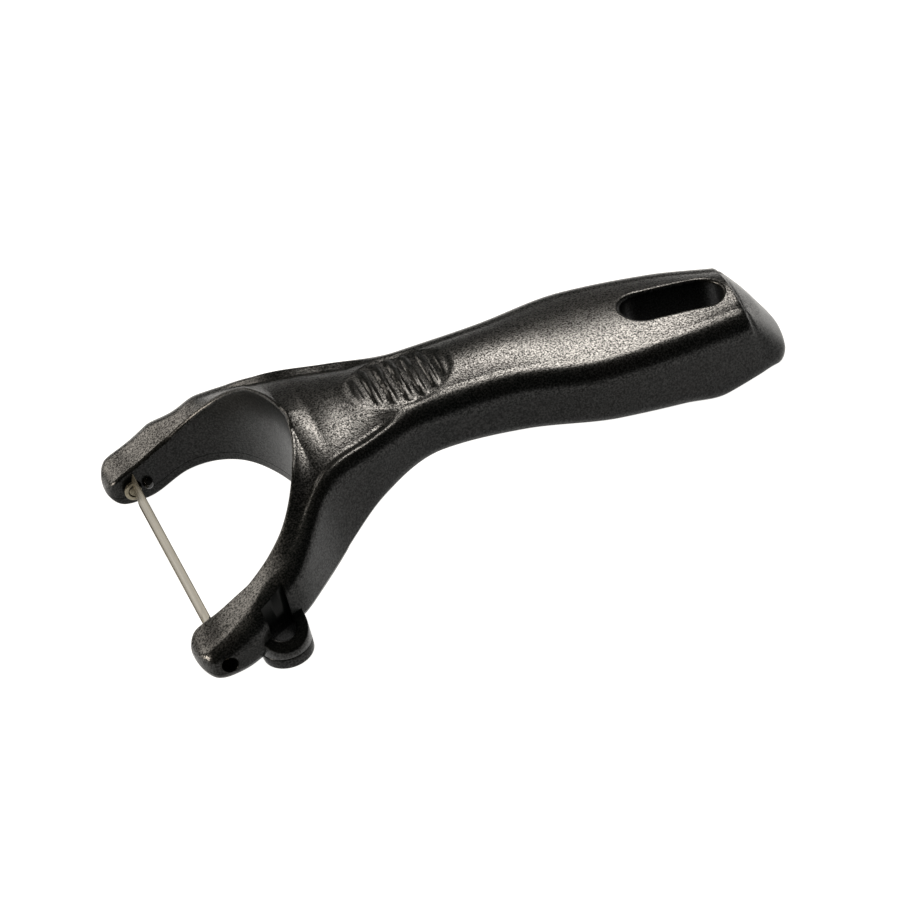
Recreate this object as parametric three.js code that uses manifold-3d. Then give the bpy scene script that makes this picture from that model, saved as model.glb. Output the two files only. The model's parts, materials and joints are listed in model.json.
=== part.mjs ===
// Y-shaped peeler: a moulded handle with two fork arms and a steel strip blade that swivels between them.
// Millimetres, +Z up, +X from the blade towards the tail, mirror plane Y = 0.
// The model is laid out about the blade's pivot axis and moved at the end, so that the origin is the
// centre of its footprint on the table that it lies on.
import * as THREE from 'three';
import { mergeVertices } from 'three/addons/utils/BufferGeometryUtils.js';
import Module from 'manifold-3d';

const wasm = await Module();
wasm.setup();

// ---- Driving dimensions ----
const ROUND_SIDES = 24;         // facets of the round bores and pins
const FORK_GAP = 43.86;            // clear distance between the inner faces of the arms
const CROTCH_X = 25.2;            // where the fork's opening ends
const NOSE_LENGTH = 4.6;        // the noses round off over this length in side view
const NOSE_X = -NOSE_LENGTH;    // foremost point of the arms
const NOSE_PLAN_LENGTH = 2.4;   // and over this length in plan
const NOSE_MIDDLE_Y = 24.8;     // middle of a nose's tip
const NOSE_BLUNT = 0.11;        // share of the height and width left flat at the tip
const TAIL_X = 111.1;           // rearmost point of the handle
const TABLE_Z = -3.8;           // the table's height, measured from the pivot axis
const SEAM_GAP = 0.3;           // clearance at every joint between two pieces
const SHELL_WALL = 2.4;
const CORE_RIBS = [42.8, 57.8, 71.3];  // cross ribs left between the cored-out bays
const RIB_THICKNESS = 1.6;
const PLATE_THICKNESS = 1.9;    // closing plate along the fork
const PLATE_THIN = 1.1;         // closing plate under the handle
const PLATE_TAPER_X = 30;       // where the plate starts to thin
const PLATE_TAPER_LENGTH = 18;

// Side view of the handle: [x, z] of its crest and of its underside.
const CREST = [[-4.6, 3], [0, 3.9], [6, 7.3], [16, 12.8], [26, 19], [36, 19.3], [48, 18.7],
  [62, 17.6], [78, 15.1], [94, 12.5], [106, 10.1], [111.1, 9.2]];
const UNDERSIDE = [[-4.6, -3.4], [2, -3.4], [10, -0.7], [18, 0.3], [26, 0.7], [36, 5.6], [47, 7.2],
  [62, 4.9], [78, 1.6], [90, -1.5], [98, -3.8], [108.7, -3.8], [111.1, -3.8]];
// Plan view: [x, y] of the widest line of the handle on one side.
const HALF_WIDTH = [[-4.6, 29.9], [-1, 31.1], [6, 31.2], [11, 28.9], [16, 27.4], [26, 18], [36, 13.7], [48, 10.2],
  [62, 10.4], [78, 13.2], [94, 11.8], [106, 9.3], [111.1, 8.7]];
const SHOULDER_RADIUS = 3.9;    // rounding from the crest into the side wall
const LOWER_EDGE_RADIUS = 2.6;
// How far the fork's inner edge stands above the crest line: [x, rise].
const RIM_RISE = [[0, 0.2], [8, -0.7], [16, 0.9], [22, 3], [29, 0]];
const CROWN = 1.09;              // how far the crest falls from the middle to the shoulder
const TAIL_CORNER = 2.3;
const TAIL_LEAN_X = 104.6;      // behind this the tail's end leans forward towards its top
const TAIL_LEAN = 0.48;          // how far it leans for each mm of height
const TAIL_LEAN_FROM = 3;       // height above the table where the lean begins
const TAIL_BULGE = 3;         // the tail's end lies this much further forward at
const TAIL_BULGE_HALF = 12;     // this distance from the mirror plane

// Fork opening: y = FORK_GAP / 2 * (1 - (x / CROTCH_X)^p)^q
const OPENING_POWER = 3.82;
const OPENING_ROUND = 0.66;

// Pivots, pins and stops
const PIVOT_BORE = 1.4;
const PIN_RADIUS = 1.1;
const PIN_RECESS = 2.6;         // how far the pin's outer end sits below the arm's face
const PIN_TIP = 0.4;            // how far the pin's inner end passes the blade's ear
const EAR_CLEARANCE = 0.6;      // between the blade's end and the arm
const STOP_X = 2.55;
const STOP_RADIUS = 1;
const STOP_HEIGHT = 1.4;
const STOP_DEPTH = 2.5;
const STOP_SHANK = 0.4;         // straight share of the peg's height, below its domed end

// Blade
const BLADE_WIDTH = 7.4;
const BLADE_STEEL = 0.5;
const EDGE_SHARE = 0.2;         // the cutting edges' share of the steel's thickness
const BLADE_BOW = 0.75;         // depth of the strip's curved section
const BLADE_DROP = 0.45;        // the strip hangs a little below the pivots
const BLADE_X = 0.1;            // the strip's mean place, behind the pivots
const SLOT_WIDTH = 1.5;
const SLOT_END = 3.5;           // from the slot to the blade's end
const EAR_RADIUS = 2.3;
const EAR_BACK = 0.1;           // the ears end this far behind the strip's mean place

// Eye-remover loops outside the arms
const LOOP_X = 10.3;
const LOOP_RADIUS = 4.4;
const LOOP_BORE = 2.4;
const LOOP_CENTRE_Y = 29.4;
const LOOP_ROOT_Y = 26;
const LOOP_TOP_ROOT = 4.3;       // rim height at the arm
const LOOP_TOP_TIP = 0;      // rim height at the loop's outer end
const LOOP_LOW_Z = TABLE_Z + 0.2;
const LOOP_BORE_TAIL = 2.2;     // how far inwards the window runs at its tail side
const LOOP_BORE_NOSE = 0.6;     // and at its nose side

// Hang hole, and the thumb dish with its raised ribs
const HANG_X = 94.3;
const HANG_HALF_LENGTH = 9;
const HANG_HALF_WIDTH = 3.8;
const DISH_X = 45.6;
const DISH_HALF_LENGTH = 9.6;
const DISH_HALF_WIDTH = 7.3;
const DISH_DEPTH = 0.95;
const DISH_LIFT = 2.85;         // the dish is part of an ellipsoid centred this far above the crest
const RIBS = 7;
const RIB_PITCH = 2.55;
const RIB_WIDTH = 1.1;
const RIB_INSET = 1;            // from a rib's end to the dish's edge
const RIB_SUNK = 0.12;          // the ribs' tops lie this far below the crest

// ---- Materials ----
const blackPlastic = new THREE.MeshStandardMaterial({ color: 0x1b1917, roughness: 0.5, metalness: 0 });
const glossPlastic = new THREE.MeshStandardMaterial({ color: 0x0d0c0b, roughness: 0.15, metalness: 0 });
const bladeSteel = new THREE.MeshStandardMaterial({ color: 0xa59c8d, roughness: 0.35, metalness: 1 });

// ---- Helpers ----

// A smooth height through [x, value] points, level at each high point, low point and flat stretch.
function smoothLine(points) {
  const slope = points.map((point, i) => {
    const before = points[Math.max(i - 1, 0)];
    const after = points[Math.min(i + 1, points.length - 1)];
    if (before !== point && after !== point && (after[1] - point[1]) * (point[1] - before[1]) <= 0) return 0;
    return (after[1] - before[1]) / (after[0] - before[0]);
  });
  return (x) => {
    let i = 0;
    while (i < points.length - 2 && x > points[i + 1][0]) i += 1;
    const [x0, v0] = points[i];
    const [x1, v1] = points[i + 1];
    const span = x1 - x0;
    const t = Math.min(Math.max((x - x0) / span, 0), 1);
    return v0 * (1 + 2 * t) * (1 - t) ** 2 + v1 * t * t * (3 - 2 * t)
      + span * t * (1 - t) * (slope[i] * (1 - t) - slope[i + 1] * t);
  };
}

const crestLine = smoothLine(CREST);
const undersideLine = smoothLine(UNDERSIDE);
const widthLine = smoothLine(HALF_WIDTH);

function toSolid(geometry) {
  const bare = geometry.clone();
  bare.deleteAttribute('normal');
  bare.deleteAttribute('uv');
  const merged = mergeVertices(bare, 1e-4);
  return new wasm.Manifold(new wasm.Mesh({
    numProp: 3,
    vertProperties: new Float32Array(merged.attributes.position.array),
    triVerts: new Uint32Array(merged.index.array),
  }));
}

function toGeometry(solid) {
  const mesh = solid.getMesh();
  const geometry = new THREE.BufferGeometry();
  geometry.setAttribute('position', new THREE.BufferAttribute(new Float32Array(mesh.vertProperties), 3));
  geometry.setIndex(new THREE.BufferAttribute(new Uint32Array(mesh.triVerts), 1));
  geometry.computeVertexNormals();
  return geometry;
}

// A closed solid through rings of [y, z] points, one ring for each x; place may move each point.
function loft(stations, ringAt, place = (x, y, z) => [x, y, z]) {
  const rings = stations.map(ringAt);
  const count = rings[0].length;
  const position = [];
  const index = [];
  rings.forEach((ring, i) => ring.forEach(([y, z]) => position.push(...place(stations[i], y, z))));
  for (let i = 0; i < rings.length - 1; i += 1) {
    for (let j = 0; j < count; j += 1) {
      const a = i * count + j;
      const b = i * count + ((j + 1) % count);
      index.push(a, a + count, b, b, a + count, b + count);
    }
  }
  const capEnd = (ringIndex, flip) => {
    const ring = rings[ringIndex];
    const centre = position.length / 3;
    const meanY = ring.reduce((sum, point) => sum + point[0], 0) / count;
    const meanZ = ring.reduce((sum, point) => sum + point[1], 0) / count;
    position.push(...place(stations[ringIndex], meanY, meanZ));
    for (let j = 0; j < count; j += 1) {
      const a = ringIndex * count + j;
      const b = ringIndex * count + ((j + 1) % count);
      if (flip) index.push(centre, b, a);
      else index.push(centre, a, b);
    }
  };
  capEnd(0, false);
  capEnd(rings.length - 1, true);
  const geometry = new THREE.BufferGeometry();
  geometry.setAttribute('position', new THREE.Float32BufferAttribute(position, 3));
  geometry.setIndex(index);
  const solid = toSolid(geometry);
  if (solid.volume() > 0) return solid;
  for (let k = 0; k < index.length; k += 3) [index[k], index[k + 1]] = [index[k + 1], index[k]];
  geometry.setIndex(index);
  return toSolid(geometry);
}

// A plan outline pushed up from low to high.
function prism(outline, low, high) {
  const shape = new THREE.Shape(outline.map(([x, y]) => new THREE.Vector2(x, y)));
  const geometry = new THREE.ExtrudeGeometry(shape, { depth: high - low, bevelEnabled: false });
  geometry.translate(0, 0, low);
  return toSolid(geometry);
}

// A round bar along Y.
function barAlongY(radius, y0, y1, x, z) {
  const geometry = new THREE.CylinderGeometry(radius, radius, Math.abs(y1 - y0), ROUND_SIDES);
  geometry.translate(x, (y0 + y1) / 2, z);
  return toSolid(geometry);
}

// A slot outline with round ends, centred on (x, 0) and running along the x or y direction.
function slotOutline(x, halfLength, halfWidth, alongY = false, steps = 8) {
  const points = [];
  for (const end of [1, -1]) {
    for (let i = 0; i <= steps; i += 1) {
      const angle = -Math.PI / 2 + (Math.PI * i) / steps;
      const u = end * (halfLength - halfWidth + halfWidth * Math.cos(angle));
      const v = end * halfWidth * Math.sin(angle);
      points.push(alongY ? [x - v, u] : [x + u, v]);
    }
  }
  return points;
}

// ---- Handle ----

// How far a rounding of this radius has fallen at a distance from the end it rounds.
function roundingDrop(fromEnd, radius) {
  const inside = Math.min(Math.max(fromEnd, 0), radius);
  return radius - Math.sqrt(radius ** 2 - (radius - inside) ** 2);
}

// Share of a nose's width left at x, where the noses round off in plan.
function noseNarrowing(x) {
  const ahead = Math.min(Math.max((NOSE_PLAN_LENGTH - NOSE_LENGTH - x) / NOSE_PLAN_LENGTH, 0), 1);
  return Math.sqrt(Math.max(1 - ahead ** 2, NOSE_BLUNT ** 2));
}

function halfWidthAt(x) {
  const narrowed = NOSE_MIDDLE_Y + (widthLine(x) - NOSE_MIDDLE_Y) * noseNarrowing(x);
  const half = x < 0 ? narrowed : widthLine(x);
  return half - roundingDrop(TAIL_X - x, TAIL_CORNER);
}

function heightsAt(x) {
  let top = crestLine(x) - roundingDrop(TAIL_X - x, SHOULDER_RADIUS);
  let bottom = undersideLine(x) + roundingDrop(TAIL_X - x, LOWER_EDGE_RADIUS);
  const ahead = Math.min(Math.max(-x / NOSE_LENGTH, 0), 1);
  const middle = (top + bottom) / 2;
  const closing = Math.sqrt(Math.max(1 - ahead ** 2, NOSE_BLUNT ** 2));
  top = middle + (top - middle) * closing;
  bottom = middle + (bottom - middle) * closing;
  return [top, bottom];
}

// The tail's end leans forward towards its top and bulges in plan.
function leanTail(x, y, z) {
  const share = Math.min(Math.max((x - TAIL_LEAN_X) / (TAIL_X - TAIL_LEAN_X), 0), 1);
  const rise = Math.max(z - TABLE_Z - TAIL_LEAN_FROM, 0);
  return [x - share * (TAIL_LEAN * rise + TAIL_BULGE * (y / TAIL_BULGE_HALF) ** 2), y, z];
}

// Half the clear width of the fork's opening at x.
function openingHalf(x) {
  if (x >= CROTCH_X) return 0;
  return (FORK_GAP / 2) * (1 - (Math.max(x, 0) / CROTCH_X) ** OPENING_POWER) ** OPENING_ROUND;
}

function rimRise(x) {
  if (x <= RIM_RISE[0][0]) return RIM_RISE[0][1];
  for (let i = 1; i < RIM_RISE.length; i += 1) {
    const [x0, rise0] = RIM_RISE[i - 1];
    const [x1, rise1] = RIM_RISE[i];
    if (x <= x1) return rise0 + ((rise1 - rise0) * (x - x0)) / (x1 - x0);
  }
  return 0;
}

function arcPoints(centreY, centreZ, radius, from, to, steps) {
  const points = [];
  for (let i = 0; i <= steps; i += 1) {
    const angle = from + ((to - from) * i) / steps;
    points.push([centreY + radius * Math.cos(angle), centreZ + radius * Math.sin(angle)]);
  }
  return points;
}

// The handle's section at x, shrunk by inset. The fork's opening is cut out of it afterwards.
function handleRing(x, inset = 0, dropTo = null) {
  const [top, bottom] = heightsAt(x);
  const half = Math.max(halfWidthAt(x) - inset, 0.5);
  const high = top - inset;
  const low = dropTo ?? bottom;
  const tall = Math.max(high - low, 0.1);
  const shoulder = Math.min(Math.max(SHOULDER_RADIUS - inset, 1), tall * 0.4);
  const lower = dropTo === null ? Math.min(LOWER_EDGE_RADIUS, tall * 0.3) : 0.01;
  const crown = Math.min(CROWN, tall * 0.1);
  const shoulderY = half - shoulder;
  const rimY = Math.max(Math.min(openingHalf(x), shoulderY - 0.5), shoulderY * 0.4);
  const rise = rimRise(x) * ((shoulderY - rimY) / (shoulderY - Math.min(openingHalf(x), rimY)));
  const right = [[rimY, high - crown * (rimY / shoulderY) ** 2 + rise]];
  right.push(...arcPoints(half - shoulder, high - crown - shoulder, shoulder, Math.PI / 2, 0, 5));
  right.push(...arcPoints(half - lower, low + lower, lower, 0, -Math.PI / 2, 3));
  const left = right.map(([y, z]) => [-y, z]).reverse();
  return [[0, high + rimRise(x)], ...right, [0, low], ...left];
}

function spread(from, to, count) {
  return Array.from({ length: count }, (_, i) => from + ((to - from) * i) / (count - 1));
}

function handleStations() {
  const nose = [0, 0.06, 0.22, 0.48, 0.8].map((part) => NOSE_X + NOSE_LENGTH * part);
  const body = spread(0, TAIL_X - TAIL_CORNER, 34);
  const tail = [0.3, 0.55, 0.75, 0.9, 0.97, 1].map((part) => TAIL_X - TAIL_CORNER * (1 - part));
  return [...nose, ...body, ...tail];
}

// The fork's opening in plan.
function openingOutline() {
  const half = FORK_GAP / 2;
  const upper = [];
  for (let i = 0; i <= 20; i += 1) {
    const x = CROTCH_X * Math.sin((i / 20) * (Math.PI / 2));
    upper.push([x, i === 20 ? 0 : openingHalf(x)]);
  }
  const front = [1.5, 1, 0.8, 0.55, 0.3].map((part) => {
    const x = NOSE_X * part;
    return [x, NOSE_MIDDLE_Y + (half - NOSE_MIDDLE_Y) * noseNarrowing(x)];
  });
  const side = [...front, ...upper.slice(0, -1)];
  const mirrored = side.map(([x, y]) => [x, -y]).reverse();
  return [...side, upper[upper.length - 1], ...mirrored];
}

function loopBlank(side) {
  const outline = [[LOOP_X + LOOP_RADIUS, LOOP_ROOT_Y]];
  for (const [y, x] of arcPoints(LOOP_CENTRE_Y, LOOP_X, LOOP_RADIUS, Math.PI / 2, -Math.PI / 2, 12)) {
    outline.push([x, y]);
  }
  outline.push([LOOP_X - LOOP_RADIUS, LOOP_ROOT_Y]);
  const column = prism(outline.map(([x, y]) => [x, side * y]), LOOP_LOW_Z, LOOP_TOP_ROOT + 1);
  const reach = LOOP_CENTRE_Y + LOOP_RADIUS - LOOP_ROOT_Y;
  const slope = (LOOP_TOP_TIP - LOOP_TOP_ROOT) / reach;
  const above = new THREE.Shape([[LOOP_ROOT_Y - 3, LOOP_TOP_ROOT - 3 * slope],
    [LOOP_ROOT_Y + reach + 3, LOOP_TOP_TIP + 3 * slope], [LOOP_ROOT_Y + reach + 3, LOOP_TOP_ROOT + 9],
    [LOOP_ROOT_Y - 3, LOOP_TOP_ROOT + 9]].map(([y, z]) => new THREE.Vector2(side * y, z)));
  const wedge = new THREE.ExtrudeGeometry(above, { depth: 2 * LOOP_RADIUS + 4, bevelEnabled: false });
  wedge.rotateX(Math.PI / 2);
  wedge.rotateZ(Math.PI / 2);
  wedge.translate(LOOP_X - LOOP_RADIUS - 2, 0, 0);
  return column.subtract(toSolid(wedge));
}

function loopBore(side) {
  const outline = [[LOOP_X + LOOP_BORE, LOOP_CENTRE_Y - LOOP_BORE_TAIL]];
  for (const [y, x] of arcPoints(LOOP_CENTRE_Y, LOOP_X, LOOP_BORE, Math.PI / 2, -Math.PI / 2, 10)) {
    outline.push([x, y]);
  }
  outline.push([LOOP_X - LOOP_BORE, LOOP_CENTRE_Y - LOOP_BORE_NOSE]);
  return prism(outline.map(([x, y]) => [x, side * y]), TABLE_Z - 3, LOOP_TOP_ROOT + 6);
}

// Everything below the joint between shell and plate.
function belowSeam(offset) {
  const stations = spread(NOSE_X - 2, TAIL_X + 2, 34);
  return loft(stations, (x) => {
    const along = Math.min(Math.max((x - PLATE_TAPER_X) / PLATE_TAPER_LENGTH, 0), 1);
    const thick = PLATE_THICKNESS + (PLATE_THIN - PLATE_THICKNESS) * along;
    const height = undersideLine(x) + thick + offset;
    return [[-40, height], [-40, height - 30], [40, height - 30], [40, height]];
  });
}

function coreHollow() {
  const chamber = (from, to) => loft(
    spread(from, to, Math.max(3, Math.round((to - from) / 4))),
    (x) => handleRing(x, SHELL_WALL, undersideLine(x) - 3),
  );
  const starts = [CROTCH_X + SHELL_WALL, ...CORE_RIBS.map((x) => x + RIB_THICKNESS / 2)];
  const ends = [...CORE_RIBS.map((x) => x - RIB_THICKNESS / 2), HANG_X - HANG_HALF_LENGTH - SHELL_WALL];
  return starts.map((from, i) => chamber(from, ends[i])).reduce((sum, bay) => sum.add(bay));
}

function handleBlank() {
  let blank = loft(handleStations(), (x) => handleRing(x), leanTail);
  blank = blank.add(loopBlank(1)).add(loopBlank(-1));
  blank = blank.subtract(prism(openingOutline(), TABLE_Z - 3, crestLine(CROTCH_X) + 6));
  blank = blank.subtract(loopBore(1)).subtract(loopBore(-1));
  blank = blank.subtract(prism(slotOutline(HANG_X, HANG_HALF_LENGTH, HANG_HALF_WIDTH), TABLE_Z - 3, 20));
  return blank;
}

function thumbDish() {
  const deep = DISH_DEPTH + DISH_LIFT;
  const wider = 1 / Math.sqrt(1 - (DISH_LIFT / deep) ** 2);
  const dish = new THREE.SphereGeometry(1, 40, 30);
  dish.scale(DISH_HALF_LENGTH * wider, DISH_HALF_WIDTH * wider, deep);
  dish.translate(DISH_X, 0, crestLine(DISH_X) + DISH_LIFT);
  return toSolid(dish);
}

function dishRibs(handle) {
  const ribs = [];
  const middle = (RIBS - 1) / 2;
  for (let i = 0; i < RIBS; i += 1) {
    const offset = (i - middle) * RIB_PITCH;
    const halfLength = (DISH_HALF_WIDTH - RIB_INSET) * Math.sqrt(1 - (offset / DISH_HALF_LENGTH) ** 2);
    const crest = crestLine(DISH_X + offset);
    ribs.push(prism(slotOutline(DISH_X + offset, halfLength, RIB_WIDTH / 2, true, 4), crest - 3, crest + 1));
  }
  return ribs.reduce((sum, rib) => sum.add(rib)).intersect(handle.translate(0, 0, -RIB_SUNK));
}

function armBores(side) {
  const inner = FORK_GAP / 2;
  const pivot = barAlongY(PIVOT_BORE, side * (inner - 2), side * 40, 0, 0);
  const stop = barAlongY(STOP_RADIUS + SEAM_GAP, side * (inner - 2), side * (inner + STOP_DEPTH + SEAM_GAP),
    STOP_X, 0);
  return pivot.add(stop);
}

// ---- Blade and its small parts ----

// Section of the strip in X and Z: a shallow bow, hollow towards the tail.
function bowAt(z) {
  const part = (z + BLADE_DROP) / (BLADE_WIDTH / 2);
  return BLADE_X - BLADE_BOW * (1 / 3 - part * part);
}

function bladeSolid() {
  const half = FORK_GAP / 2 - EAR_CLEARANCE;
  const steps = 10;
  const front = [];
  const back = [];
  for (let i = 0; i <= steps; i += 1) {
    const z = -BLADE_DROP + (BLADE_WIDTH * (i / steps - 0.5));
    const thick = i === 0 || i === steps ? BLADE_STEEL * EDGE_SHARE : BLADE_STEEL;
    front.push(new THREE.Vector2(bowAt(z) - thick / 2, z));
    back.push(new THREE.Vector2(bowAt(z) + thick / 2, z));
  }
  const strip = new THREE.ExtrudeGeometry(new THREE.Shape([...front, ...back.reverse()]),
    { depth: 2 * half, bevelEnabled: false });
  strip.rotateX(Math.PI / 2);
  strip.translate(0, half, 0);
  const slot = new THREE.BoxGeometry(6, 2 * (half - SLOT_END), SLOT_WIDTH);
  slot.translate(0, 0, -BLADE_DROP);
  let blade = toSolid(strip).subtract(toSolid(slot));
  for (const side of [1, -1]) {
    const earOuter = side * half;
    const earInner = side * (half - BLADE_STEEL);
    const behindEar = new THREE.BoxGeometry(EAR_RADIUS, 4, 3 * EAR_RADIUS);
    behindEar.translate(BLADE_X + EAR_BACK + EAR_RADIUS / 2, side * half, 0);
    blade = blade.add(barAlongY(EAR_RADIUS, earInner, earOuter, 0, 0).subtract(toSolid(behindEar)));
    blade = blade.subtract(barAlongY(PIN_RADIUS + SEAM_GAP / 3, side * (half - 3), side * (half + 1), 0, 0));
  }
  return blade;
}

function pinSolid(side) {
  const inner = FORK_GAP / 2 - EAR_CLEARANCE - BLADE_STEEL - PIN_TIP;
  const outer = halfWidthAt(0) - PIN_RECESS;
  return barAlongY(PIN_RADIUS, side * inner, side * outer, 0, 0);
}

function stopSolid(side) {
  const face = FORK_GAP / 2;
  const profile = [[0, -STOP_DEPTH], [STOP_RADIUS, -STOP_DEPTH], [STOP_RADIUS, STOP_HEIGHT * STOP_SHANK]];
  for (let i = 1; i <= 5; i += 1) {
    const angle = (Math.PI / 2) * (i / 5);
    const dome = (1 - STOP_SHANK) * Math.sin(angle);
    profile.push([STOP_RADIUS * Math.cos(angle), STOP_HEIGHT * (STOP_SHANK + dome)]);
  }
  profile[profile.length - 1][0] = 0;
  const peg = new THREE.LatheGeometry(profile.map(([r, h]) => new THREE.Vector2(r, h)), 20);
  if (side > 0) peg.rotateX(Math.PI);
  peg.translate(STOP_X, side * face, 0);
  return toSolid(peg);
}

// ---- Assembly ----

const peeler = new THREE.Group();

function addPiece(name, solid, material) {
  const mesh = new THREE.Mesh(toGeometry(solid), material);
  mesh.name = name;
  mesh.position.set(-(NOSE_X + TAIL_X) / 2, 0, -TABLE_Z);
  peeler.add(mesh);
}

const blank = handleBlank();
const dished = blank.subtract(thumbDish()).add(dishRibs(blank));
const shell = dished
  .subtract(belowSeam(SEAM_GAP))
  .subtract(coreHollow())
  .subtract(armBores(1))
  .subtract(armBores(-1));
addPiece('handle_shell', shell, blackPlastic);
addPiece('handle_base', blank.intersect(belowSeam(0)), blackPlastic);
addPiece('swivel_blade', bladeSolid(), bladeSteel);
for (const [sideName, side] of [['left', 1], ['right', -1]]) {
  addPiece(`pivot_pin_${sideName}`, pinSolid(side), bladeSteel);
  addPiece(`stop_peg_${sideName}`, stopSolid(side), glossPlastic);
}

export default peeler;
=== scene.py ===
"""Looks of the Y-shaped peeler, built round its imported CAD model.

Shapes are worked out in millimetres from the blade's pivot, with the CAD's axes: +X runs to the
tail, +Z up from the table at TABLE_Z, and Y = 0 is the mirror plane. to_frame() turns them into
metres of the frame.
"""

import json
import math

import bmesh
import bpy
import numpy as np
from mathutils import Matrix, Vector


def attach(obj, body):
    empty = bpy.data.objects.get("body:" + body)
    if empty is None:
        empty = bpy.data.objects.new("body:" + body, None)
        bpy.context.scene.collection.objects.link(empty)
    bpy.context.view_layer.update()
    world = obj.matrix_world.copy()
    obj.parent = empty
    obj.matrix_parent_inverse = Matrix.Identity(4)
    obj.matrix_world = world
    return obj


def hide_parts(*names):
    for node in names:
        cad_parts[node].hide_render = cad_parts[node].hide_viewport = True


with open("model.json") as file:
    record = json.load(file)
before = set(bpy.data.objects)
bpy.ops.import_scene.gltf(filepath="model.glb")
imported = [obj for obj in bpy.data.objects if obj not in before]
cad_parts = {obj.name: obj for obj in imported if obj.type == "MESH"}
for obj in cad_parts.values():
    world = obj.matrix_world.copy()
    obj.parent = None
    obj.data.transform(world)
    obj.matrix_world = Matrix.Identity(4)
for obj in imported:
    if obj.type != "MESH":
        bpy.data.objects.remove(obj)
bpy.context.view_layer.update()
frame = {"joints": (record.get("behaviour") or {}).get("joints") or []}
PIVOT = np.array(frame["joints"][0]["pos_m"])
MM = 0.001

# ---- Handle, in mm from the pivot ----
NOSE_LENGTH = 4.6              # the noses round off over this length in side view
NOSE_PLAN_LENGTH = 2.4         # and over this length in plan,
NOSE_MIDDLE_Y = 24.8           # towards this line
TAIL_X = 111.1
TABLE_Z = -3.8
FORK_HALF = 21.93              # half the clear width between the arms
CROTCH_X = 25.2
OPENING_POWER = 3.82           # the fork's opening is a superellipse with these two powers
OPENING_ROUND = 0.66
# (x, height) along the crest and the underside, and (x, half width) of the plan
CREST = [(-NOSE_LENGTH, 3), (0, 3.9), (6, 7.3), (16, 12.8), (26, 19), (36, 19.3), (48, 18.7),
         (62, 17.6), (78, 15.1), (94, 12.5), (106, 10.1), (TAIL_X, 9.2)]
UNDERSIDE = [(-NOSE_LENGTH, -3.4), (2, -3.4), (10, -0.7), (18, 0.3), (26, 0.7), (36, 5.6), (47, 7.2),
             (62, 4.9), (78, 1.6), (90, -1.5), (98, TABLE_Z), (108.7, TABLE_Z), (TAIL_X, TABLE_Z)]
HALF_WIDTH = [(-NOSE_LENGTH, 29.9), (-1, 31.1), (6, 31.2), (11, 28.9), (16, 27.4), (26, 18), (36, 13.7),
              (48, 10.2), (62, 10.4), (78, 13.2), (94, 11.8), (106, 9.3), (TAIL_X, 8.7)]
SHOULDER = 3.9                 # radius from the crest into the side wall
LOWER_EDGE = 2.6               # radius from the side wall under the handle
INNER_RIM = 0.7                # radius round the top of the fork's opening and the hang hole
INNER_LOWER_RIM = 0.5          # and round their lower edge
# the most that each of these takes of the handle's height and width at a cut
SHOULDER_ROOM = (0.4, 0.55)
LOWER_EDGE_ROOM = (0.3, 0.3)
INNER_RIM_ROOM = (0.25, 0.18)
INNER_LOWER_RIM_ROOM = (0.2, 0.15)
RIM_RISE = [(0, 0.2), (8, -0.7), (16, 0.9), (22, 2.85), (29, 0)]  # (x, inner edge over the crest)
CROWN = 1.09                   # the top's fall from its middle to the shoulder,
CROWN_SHARE = 0.1              # at most this share of the handle's height
TAIL_CORNER = 2.3
TAIL_LEAN_X = 104.6            # behind this the tail's end leans forward towards its top
TAIL_LEAN = 0.48               # how far it leans for each mm of height
TAIL_LEAN_FROM = 3             # above this height over the table
TAIL_BULGE = 3                 # the tail's end lies this much further forward at
TAIL_BULGE_HALF = 12.0         # this distance from the mirror plane
PLATE_THICKNESS = 1.9          # of the base at the fork
PLATE_THIN = 1.1               # and at the tail
PLATE_TAPER = (30, 48)         # it thins between these places
SEAM_LINE = 0.05               # half the open width of the joint line
HANG_X = 94.3
HANG_HALF_LENGTH = 9
HANG_HALF_WIDTH = 3.8

# ---- Thumb dish with its ribs, and the valley that leaves it along each arm ----
DISH_X = 45.6
DISH_HALF_LENGTH = 9.6
DISH_HALF_WIDTH = 7.3
DISH_DEPTH = 0.95
RIBS = 7
RIB_PITCH = 2.55
RIB_HALF_WIDTH = 0.55
RIB_FLANK = 0.22
RIB_INSET = 1.0
RIB_SUNK = 0.12                # the ribs' tops lie this deep,
RIB_FOLLOW = 0.12              # and follow this share of the dish's depth
VALLEY_DEPTH = 0.95
VALLEY_FROM_EDGE = 3.4         # from the widest line of the handle to the valley's floor
VALLEY_REACH = 4.0             # of its long inner slope
VALLEY_OUTER = 2.0             # and width of its short outer slope
VALLEY_TAIL = (44, 38)         # it deepens between these places,
VALLEY_NOSE = (13, 27)         # runs out between these,
VALLEY_MIDDLE = 6              # and fades this near to the mirror plane

# ---- Eye-remover loops ----
LOOP_X = 10.3
LOOP_RADIUS = 4.4
LOOP_BORE = 2.4
LOOP_CENTRE_Y = 29.4
LOOP_ROOT_Y = 26.0
LOOP_TOP_ROOT = 4.3            # rim height at the arm
LOOP_TOP_TIP = 0               # rim height at the loop's outer end
LOOP_LOW_Z = TABLE_Z + 0.2
LOOP_EMBED = 0.5               # the ring's ends run this far past its root into the arm
LOOP_EDGE = 0.4
LOOP_PARTING_Z = -1.5          # of a fine groove round the ring
LOOP_PARTING_HALF = 0.1
LOOP_PARTING_DEPTH = 0.05      # as a share of the ring's wall
LOOP_BORE_TAIL = 2.2           # how far inwards the window runs at its tail side
LOOP_BORE_NOSE = 0.6           # and at its nose side
LOOP_BACK_EMBED = 0.4          # the wall between loop and arm runs this far past the root,
LOOP_BACK_LOW = 0.2            # starts this far over the loop's low edge
LOOP_BACK_TOP = 0.3            # and ends this far under its rim

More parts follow.
